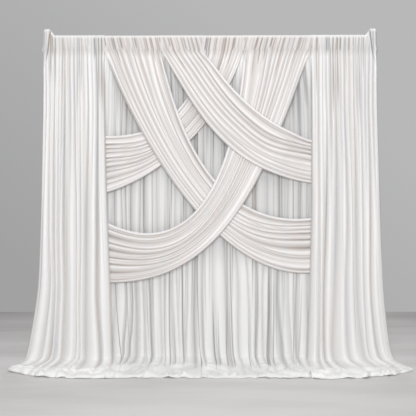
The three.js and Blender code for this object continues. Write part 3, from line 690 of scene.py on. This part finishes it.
# The edges are shares of half the span at each of the fall's drops, the outer edge and then the inner
# one. The valleys are shares of the width at each valley drop, and the weights say how deep each is.
DRAPES = (
    {
        "name": "left_side_folds", "side": -1, "kind": SIDE, "depth": 0.044, "shaded": 0, "seed": 11,
        "edges": (
            (1.016, 0.645), (1.012, 0.637), (1.02, 0.625), (1.038, 0.605),
            (1.095, 0.592), (1.12, 0.586), (1.162, 0.578), (1.18, 0.57),
        ),
        "valleys": (
            (0.10, 0.19, 0.27, 0.36, 0.50, 0.60, 0.72, 0.87),
            (0.12, 0.20, 0.27, 0.36, 0.51, 0.60, 0.73, 0.88),
            (0.13, 0.20, 0.255, 0.35, 0.55, 0.605, 0.69, 0.84),
            (0.16, 0.24, 0.29, 0.38, 0.54, 0.59, 0.67, 0.81),
            (0.157, 0.29, 0.335, 0.41, 0.575, 0.62, 0.685, 0.85),
            (0.16, 0.28, 0.35, 0.43, 0.56, 0.63, 0.72, 0.86),
        ),
        "weights": (0.5, 0.8, 0.6, 0.75, 0.65, 0.8, 0.75, 0.9),
    },
    {
        "name": "right_side_folds", "side": 1, "kind": SIDE, "depth": 0.044, "shaded": 0, "seed": 12,
        "edges": (
            (1.016, 0.615), (1.013, 0.612), (1.024, 0.611), (1.044, 0.602),
            (1.082, 0.586), (1.11, 0.58), (1.16, 0.572), (1.18, 0.565),
        ),
        "valleys": (
            (0.12, 0.24, 0.36, 0.49, 0.63, 0.77, 0.88),
            (0.13, 0.24, 0.36, 0.49, 0.63, 0.77, 0.89),
            (0.15, 0.26, 0.358, 0.48, 0.637, 0.785, 0.875),
            (0.17, 0.274, 0.357, 0.505, 0.66, 0.80, 0.87),
            (0.16, 0.275, 0.335, 0.505, 0.70, 0.79, 0.87),
            (0.16, 0.27, 0.36, 0.50, 0.66, 0.77, 0.88),
        ),
        "weights": (0.65, 0.5, 0.6, 0.6, 0.7, 0.9, 0.7),
    },
    {
        "name": "left_back_folds", "side": -1, "kind": BACK, "depth": -0.042, "shaded": 0.06, "seed": 13,
        "edges": (
            (0.642, 0.065), (0.665, 0.042), (0.68, 0.04), (0.68, 0.04),
            (0.645, 0.05), (0.63, 0.05), (0.625, 0.046), (0.62, 0.046),
        ),
        "valleys": (
            (0.06, 0.12, 0.18, 0.24, 0.30, 0.38, 0.45, 0.54, 0.64, 0.73, 0.82, 0.91),
            (0.07, 0.13, 0.19, 0.25, 0.305, 0.39, 0.44, 0.54, 0.65, 0.73, 0.82, 0.91),
            (0.07, 0.13, 0.22, 0.26, 0.305, 0.385, 0.42, 0.56, 0.66, 0.73, 0.835, 0.92),
            (0.06, 0.155, 0.264, 0.31, 0.35, 0.432, 0.483, 0.587, 0.69, 0.75, 0.84, 0.92),
            (0.03, 0.07, 0.187, 0.24, 0.305, 0.40, 0.488, 0.574, 0.705, 0.76, 0.818, 0.93),
            (0.01, 0.04, 0.09, 0.15, 0.22, 0.33, 0.43, 0.53, 0.68, 0.74, 0.81, 0.93),
        ),
        "weights": (0.3, 0.4, 0.95, 0.85, 0.7, 0.4, 0.9, 0.45, 0.45, 0.35, 0.5, 0.85),
    },
    {
        "name": "right_back_folds", "side": 1, "kind": BACK, "depth": -0.012, "shaded": 0.15, "seed": 14,
        "edges": (
            (0.61, -0.055), (0.64, -0.078), (0.655, -0.08), (0.65, -0.08),
            (0.63, -0.068), (0.62, -0.058), (0.615, -0.05), (0.61, -0.05),
        ),
        "valleys": (
            (0.06, 0.14, 0.22, 0.30, 0.36, 0.42, 0.51, 0.60, 0.68, 0.77, 0.86, 0.94),
            (0.06, 0.14, 0.22, 0.31, 0.36, 0.42, 0.51, 0.60, 0.68, 0.77, 0.86, 0.94),
            (0.086, 0.142, 0.243, 0.314, 0.36, 0.41, 0.513, 0.60, 0.68, 0.77, 0.87, 0.95),
            (0.08, 0.16, 0.24, 0.33, 0.405, 0.45, 0.497, 0.573, 0.649, 0.756, 0.874, 0.957),
            (0.03, 0.146, 0.20, 0.27, 0.386, 0.448, 0.51, 0.564, 0.66, 0.753, 0.881, 0.95),
            (0.01, 0.075, 0.133, 0.21, 0.336, 0.404, 0.471, 0.53, 0.635, 0.737, 0.877, 0.953),
        ),
        "weights": (0.5, 0.7, 0.4, 0.8, 0.5, 0.4, 0.9, 0.45, 0.5, 0.7, 0.4, 0.65),
    },
)
# The left drapes hang on the crossbar's outer tube and the right ones on its inner tube.
for cut in DRAPES:
    piece = drape(**cut)
    body = "outer_crossbar" if cut["side"] < 0 else "inner_crossbar"
    cloth, flat = (side_cloth, (0.85, 3.5)) if cut["kind"] is SIDE else (back_cloth, (1.15, 3.5))
    piece.data.materials.append(cloth)
    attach(piece, body)
    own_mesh(piece)
    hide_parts(piece.name.replace("folds", "drape"))

# Swags: four gathered bands of the same knit. Each is sewn over the back drapes' pocket, crosses to
# the other side and ends behind that side's drape, so that the four plait over one another.
SWAG_COLUMNS, SWAG_ROWS = 250, 150
# How far in front of the bar's axis a swag's seam and end are, and the flounce's radius over the bar.
# Seam and flounce are farther out by a share of the depth at which the swag crosses the others.
SWAG_SEAM_DEPTH = 0.016
SWAG_END_DEPTH = 0.030
FLOUNCE_RADIUS = 0.0226
FLOUNCE_STEP = 0.02
# How far the flounces lap over one another on the bar, as a share of their width.
FLOUNCE_LAP = 0.04
# From where to where, as shares of its length, a swag comes forward from its seam and goes back to its end,
# and from where to where the painted shade in its valleys is lighter, then lighter still, and then darker
# again.
COMES_FORWARD, GOES_BEHIND = (0, 0.15), (0.78, 0.96)
LIGHTENS, NEARS_END, IS_TUCKED = (0.4, 0.7), (0.65, 0.85), (0.86, 0.96)
SWAG_FOLD = {"full_fold": 0.022, "roundness": 1.8, "soft": 0.001, "broad": (0.4, 0.95)}
# How deep the folds are from the seam to the end, and how far the gathers stand out on the flounce,
# from its foot to its top, and on the band.
SWAG_FOLD_DEPTHS = (0.001, 0.003, 0.010, 0.013, 0.014, 0.016)
FLOUNCE_GATHERS, BAND_GATHERS = (0.009, 0.008, 0.003), 0.007
# The valleys wander and sag by these shares of the width.
SWAG_WANDER_SHARE, SWAG_WANDER_WAVES, SAG_SHARE = 0.006, 3.4, 0.055
SWAG_CREASES = 46
SWAG_CREASE_DEPTH = 0.003
# The rolled edges, the raised upper hem and the groove beside it, in metres from the edge.
ROLL_BACK, ROLL_HALF_WIDTH = 0.012, 0.006
RAISED_AT, RAISED_BY, RAISED_HALF_WIDTH = 0.012, 0.005, 0.008
GROOVE_AT, GROOVE_DEPTH, GROOVE_HALF_WIDTH = 0.028, 0.004, 0.006
# Across, the UV map counts every swag as this wide, so that the ribs are alike on all four.
SWAG_FLAT_ACROSS = 0.9


def bezier(handles, t):
    """Points of a cubic curve whose handles are shares of half the span and of the bar's height."""
    a, b, c, d = np.array(handles) * (HALF_SPAN, BAR_Z)
    t = t[:, None]
    return (1 - t) ** 3 * a + 3 * t * (1 - t) ** 2 * b + 3 * t * t * (1 - t) * c + t**3 * d


def swag(name, depth, upper, lower, valleys, weights, lean, seed):
    """One swag: its flounce over the bar and its band between two curves, and the band's length."""
    draw = np.random.default_rng(seed)
    shares = np.linspace(0, 1, SWAG_COLUMNS)
    # The rows are closer together at the top.
    t = np.linspace(0, 1, SWAG_ROWS) ** 1.15
    high_edge, low_edge = bezier(upper, t), bezier(lower, t)
    band_x = high_edge[:, :1] + (low_edge[:, :1] - high_edge[:, :1]) * shares
    band_z = high_edge[:, 1:] + (low_edge[:, 1:] - high_edge[:, 1:]) * shares
    seam_depth = SWAG_SEAM_DEPTH + FLOUNCE_STEP * depth
    middle = seam_depth + (depth - seam_depth) * ease(*COMES_FORWARD, t)
    middle = middle + (SWAG_END_DEPTH - middle) * ease(*GOES_BEHIND, t)
    radius = FLOUNCE_RADIUS + FLOUNCE_STEP * depth
    turn = np.linspace(-0.35, np.pi, 11)
    front = np.linspace(0, 1, 30)[1:-1]
    top_y = np.concatenate([radius * np.cos(turn), -radius + (radius - seam_depth) * front])
    top_z = np.concatenate([BAR_Z + radius * np.sin(turn), BAR_Z + (SEAM_Z - BAR_Z) * front])
    flounce = band_x[:1] + FLOUNCE_LAP * (band_x[:1] - band_x[0].mean())
    x = np.concatenate([np.repeat(flounce, len(top_y), 0), band_x])
    z = np.concatenate([np.repeat(top_z[:, None], SWAG_COLUMNS, 1), band_z])
    y = np.repeat(np.concatenate([top_y, -middle])[:, None], SWAG_COLUMNS, 1)
    line = (high_edge + low_edge) / 2
    drop = np.concatenate([[0], np.cumsum(np.hypot(*np.diff(line, axis=0).T))])
    length = drop[-1]
    above = np.concatenate([SEAM_DROP + OVER_BAR * np.sin(turn), SEAM_DROP * (1 - front)])
    below = np.concatenate([-above, drop])
    heading_width = np.full(len(top_y), abs(high_edge[0, 0] - low_edge[0, 0]))
    width = np.concatenate([heading_width, np.hypot(*(high_edge - low_edge).T)])

    # Lengthwise folds. The valleys' places and depths are given at the seam, halfway and at the end.
    stations = (0, 0.5 * length, 0.93 * length)
    lines = through(stations, valleys, below)
    sway = draw.uniform(0, 6.28, lines.shape[1])
    swing = SWAG_WANDER_SHARE * ease(0.05, 0.4, below)[:, None]
    lines = lines + swing * np.sin(SWAG_WANDER_WAVES * below[:, None] + sway)
    # The folds sag before they rise again to the end.
    sag = np.sin(np.pi * np.clip((below / length - 0.5) / 0.43, 0, 1))[:, None]
    lines = lines + SAG_SHARE * sag**2 * np.sin(np.pi * lines)
    strengths = through(stations, weights, below)
    rim = 0.85 * ease(0, 0.3, below)[:, None]
    lines = np.concatenate([np.zeros_like(rim), lines, np.ones_like(rim)], axis=1)
    strengths = np.concatenate([0.15 * rim, strengths, rim], axis=1)
    relief, dark = ridges(shares, width, lines, strengths, draw, **SWAG_FOLD)
    depth_drops = (-0.02, 0.01, 0.12, 0.3, 0.8 * length, length)
    envelope = through(depth_drops, SWAG_FOLD_DEPTHS, below)
    high = envelope[:, None] * relief
    leaning = np.concatenate([lean * np.clip(above / SEAM_DROP, 0, 1), np.zeros(SWAG_ROWS)])
    slits = gathers(shares, width[0], below, leaning, 0.7, draw)
    flounce_room = np.interp(above, (0, 0.09, SEAM_DROP + OVER_BAR), FLOUNCE_GATHERS)
    room = np.concatenate([flounce_room, np.full(SWAG_ROWS, BAND_GATHERS)])
    high += room[:, None] * (1 - slits)
    thin = creases(shares, width, below, SWAG_CREASES, length, draw) * ease(0.02, 0.2, below)[:, None]
    high -= SWAG_CREASE_DEPTH * thin
    # The edges roll back, the upper one over a raised hem with a shallow groove beside it.
    rolled = ease(0.01, 0.12, below)[:, None]
    from_upper, from_lower = shares[None, :] * width[:, None], (1 - shares)[None, :] * width[:, None]
    groove = rolled * bell(from_upper - GROOVE_AT, GROOVE_HALF_WIDTH)
    high -= GROOVE_DEPTH * groove
    dark = dark * ease(-SEAM_DROP, 0.05, below)[:, None] * ease(0.010, 0.030, from_upper)
    # The cloth is pulled tight where it goes behind the side drape, and its valleys are deep there. Their
    # painted shade is lighter further along and lighter still near the end, then darker where the cloth is
    # tucked behind the side drape, as painted shadow from that drape, and the whole end is a touch darker.
    far = below / length
    lighter = 0.04 * ease(*LIGHTENS, far)[:, None]
    ending = ease(*NEARS_END, far)[:, None]
    tucked = ease(*IS_TUCKED, far)[:, None]
    dark = (0.78 - lighter - 0.09 * ending + 0.25 * tucked) * dark
    # Painted shade, kept in the crest attribute: in the valleys, slits, creases and groove, and below the
    # bright top of the bar.
    crest = 1 - np.maximum(np.maximum(dark, slits), np.maximum(0.5 * thin, 0.45 * groove))
    crest -= heading_shade(below)[:, None] + 0.03 * ending
    high -= rolled * ROLL_BACK * (bell(from_upper, ROLL_HALF_WIDTH) + bell(from_lower, ROLL_HALF_WIDTH))
    high += rolled * RAISED_BY * bell(from_upper - RAISED_AT, RAISED_HALF_WIDTH)

    # Heights are laid off square to the flounce, and straight forward on the band.
    hung = len(front) + SWAG_ROWS
    over_bar = np.concatenate([np.cos(turn), np.full(hung, -1.0)])
    over_top = np.concatenate([np.sin(turn), np.zeros(hung)])
    y = y + high * over_bar[:, None]
    z = z + high * over_top[:, None]
    steps = np.concatenate([[0], np.cumsum(np.hypot(np.diff(top_y), np.diff(top_z)))])
    lengths = np.concatenate([steps, steps[-1] + 0.01 + drop])
    points = np.stack([x, BAR_Y + y, z], axis=-1)
    if upper[0][0] < lower[0][0]:
        points, crest = points[:, ::-1], crest[:, ::-1]
    return cloth_piece(name, points, crest, SWAG_FLAT_ACROSS, lengths), length


# Its lit colour, its warm and its cool painted shade, and its painted highlight.
swag_cloth = knit_material("stretch_knit_swags", "#efecea", "#9d8d82", "#979392", "#fcfafa")
# From the back of the braid to its front. The upper and the lower edge are cubic curves. The valleys
# are shares of the width, from the upper edge, and the weights say how deep each is.
SWAGS = (
    {
        "name": "inner_right_swag_folds", "depth": 0.030, "lean": -0.05, "seed": 21,
        "upper": ((-0.042, 0.96), (-0.1, 0.78), (-0.3, 0.685), (-0.69, 0.7)),
        "lower": ((0.206, 0.96), (0.08, 0.75), (-0.26, 0.57), (-0.69, 0.515)),
        "valleys": (
            (0.08, 0.17, 0.26, 0.34, 0.43, 0.52, 0.60, 0.68, 0.77, 0.86, 0.94),
            (0.09, 0.20, 0.30, 0.38, 0.46, 0.53, 0.60, 0.68, 0.76, 0.84, 0.92),
            (0.06, 0.15, 0.235, 0.305, 0.40, 0.47, 0.55, 0.635, 0.765, 0.85, 0.95),
        ),
        "weights": (
            (0.3, 0.2, 0.2, 0.3, 0.2, 0.3, 0.2, 0.4, 0.4, 0.6, 0.6),
            (0.4, 0.3, 0.7, 0.6, 0.8, 0.6, 0.8, 0.6, 0.7, 0.5, 0.4),
            (0.5, 0.9, 0.9, 0.8, 0.95, 0.8, 0.9, 0.9, 0.8, 0.6, 0.3),
        ),
    },
    {
        "name": "outer_left_swag_folds", "depth": 0.052, "lean": -0.05, "seed": 22,
        "upper": ((-0.297, 0.96), (-0.19, 0.71), (0.03, 0.4), (0.66, 0.45)),
        "lower": ((-0.643, 0.96), (-0.48, 0.73), (0.04, 0.23), (0.66, 0.28)),
        "valleys": (
            (0.08, 0.17, 0.29, 0.40, 0.50, 0.60, 0.71, 0.82, 0.91),
            (0.10, 0.25, 0.36, 0.45, 0.52, 0.60, 0.72, 0.80, 0.88),
            (0.065, 0.13, 0.20, 0.265, 0.39, 0.53, 0.72, 0.80, 0.93),
        ),
        "weights": (
            (0.5, 0.7, 0.6, 0.8, 0.7, 0.6, 0.8, 0.6, 0.6),
            (0.9, 0.7, 0.4, 0.5, 0.5, 0.6, 0.6, 0.6, 0.5),
            (0.7, 0.7, 0.7, 0.9, 0.95, 0.95, 0.6, 0.2, 0.8),
        ),
    },
    {
        "name": "outer_right_swag_folds", "depth": 0.074, "lean": -0.05, "seed": 23,
        "upper": ((0.207, 0.96), (0.17, 0.72), (0.02, 0.25), (-0.69, 0.45)),
        "lower": ((0.613, 0.96), (0.37, 0.65), (0.15, 0.22), (-0.69, 0.25)),
        "valleys": (
            (0.05, 0.17, 0.35, 0.43, 0.50, 0.59, 0.66, 0.73, 0.80, 0.89),
            (0.12, 0.25, 0.38, 0.45, 0.50, 0.56, 0.62, 0.68, 0.78, 0.90),
            (0.085, 0.20, 0.33, 0.45, 0.52, 0.565, 0.63, 0.69, 0.815, 0.95),
        ),
        "weights": (
            (0.6, 0.5, 0.8, 0.7, 0.7, 0.6, 0.7, 0.6, 0.7, 0.5),
            (0.5, 0.3, 0.6, 0.55, 0.7, 0.55, 0.7, 0.5, 0.25, 0.3),
            (0.85, 0.9, 0.9, 0.9, 0.3, 0.9, 0.3, 0.9, 0.95, 0.7),
        ),
    },
    {
        "name": "inner_left_swag_folds", "depth": 0.096, "lean": -0.08, "seed": 24,
        "upper": ((-0.043, 0.96), (0.12, 0.83), (0.35, 0.71), (0.66, 0.68)),
        "lower": ((-0.296, 0.96), (-0.06, 0.74), (0.12, 0.58), (0.66, 0.55)),
        "valleys": (
            (0.09, 0.20, 0.32, 0.45, 0.57, 0.70, 0.82, 0.92),
            (0.10, 0.27, 0.34, 0.47, 0.55, 0.66, 0.78, 0.90),
            (0.07, 0.15, 0.235, 0.33, 0.47, 0.60, 0.85, 0.93),
        ),
        "weights": (
            (0.6, 0.7, 0.6, 0.7, 0.7, 0.7, 0.7, 0.6),
            (0.8, 0.95, 0.85, 0.75, 0.7, 0.6, 0.7, 0.7),
            (0.7, 0.8, 0.95, 0.95, 0.7, 0.3, 0.6, 0.6),
        ),
    },
)
SWAG_FLATS = (0.45, 0.6, 0.65, 0.45)
for band, flat_width in zip(SWAGS, SWAG_FLATS):
    piece, length = swag(**band)
    piece.data.materials.append(swag_cloth)
    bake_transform(piece)
    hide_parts(piece.name.replace("_folds", ""))
    flat = (flat_width, round(length + 0.2, 2))

# The stand keeps the CAD's shapes. Its tubes are drawn aluminium, anodised, and fine draw lines make
# their highlights long. The plates' powder coat is matt and a little rough, the small steel's zinc is
# blotched, and the moulded nylon is black with a soft gloss.
# Each finish: its dull and clear colours, metallic, its least and most roughness, its grain in
# millimetres along x, y and z, which for the tubes is drawn coarser so that it shows, and its height.
FINISHES = {
    "anodised_aluminium_upright": ("#bfc1c4", "#cdcfd1", 1.0, 0.30, 0.44, (2.857, 2.857, 333.3), 0.00008),
    "anodised_aluminium_bar": ("#bfc1c4", "#cdcfd1", 1.0, 0.30, 0.44, (333.3, 2.857, 2.857), 0.00008),
    "zinc_plated_steel": ("#a9a8a0", "#c9c9c6", 1.0, 0.28, 0.50, (6.25, 6.25, 6.25), 0.00010),
    "powder_coated_steel": ("#aeb0b2", "#bec0c2", 0.0, 0.46, 0.62, (4, 4, 4), 0.00030),
    "moulded_black_nylon": ("#1f2123", "#2c2e31", 0.0, 0.42, 0.60, (2, 2, 2), 0.00020),
}
# Handling leaves patches of this size that are duller.
PATCH_MM = 62.5
finishes = {}
for name, (dull, clear, metallic, smooth, rough, grain, peel) in FINISHES.items():
    material, tree = new_material(name)
    place = add(tree, "ShaderNodeTexCoord").outputs["Object"]
    along = add(tree, "ShaderNodeMapping", {"Vector": place, "Scale": per_metre(grain)})
    lines = add(tree, "ShaderNodeTexNoise", {"Vector": along.outputs[0], "Scale": 1.0, "Detail": 3.0})
    patches = add(tree, "ShaderNodeTexNoise", {"Vector": place, "Scale": 1000 / PATCH_MM, "Detail": 4.0})
    worn = add(
        tree,
        "ShaderNodeMath",
        {0: lines.outputs["Fac"], 1: patches.outputs["Fac"]},
        operation="MULTIPLY",
    )
    share = add(tree, "ShaderNodeMapRange", {"Value": worn.outputs[0], "From Min": 0.12, "From Max": 0.38})
    tone = add(tree, "ShaderNodeValToRGB", {"Fac": share.outputs[0]})
    tone.color_ramp.elements[0].color = colour(dull)
    tone.color_ramp.elements[1].color = colour(clear)
    matt = add(tree, "ShaderNodeMapRange", {"Value": share.outputs[0], "To Min": rough, "To Max": smooth})
    bump = add(tree, "ShaderNodeBump", {"Height": lines.outputs["Fac"], "Strength": 0.4, "Distance": peel})
    surface = add(
        tree,
        "ShaderNodeBsdfPrincipled",
        {
            "Base Color": tone.outputs[0],
            "Metallic": metallic,
            "Roughness": matt.outputs[0],
            "Normal": bump.outputs[0],
        },
    )
    add(tree, "ShaderNodeOutputMaterial", {"Surface": surface.outputs[0]})
    finishes[name] = material
# Which finish a node has, by how its name ends. The rest are moulded nylon.
ENDINGS = {
    "anodised_aluminium_upright": ("lower_tube", "mast"),
    "anodised_aluminium_bar": ("bar_tube",),
    "zinc_plated_steel": ("spigot", "bolt", "screw", "blade", "rivet_1", "rivet_2"),
    "powder_coated_steel": ("base_plate",),
}
for name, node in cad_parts.items():
    if name.endswith(("drape", "swag")):
        continue
    finish = next((kind for kind, ends in ENDINGS.items() if name.endswith(ends)), "moulded_black_nylon")
    node.data.materials.clear()
    node.data.materials.append(finishes[finish])
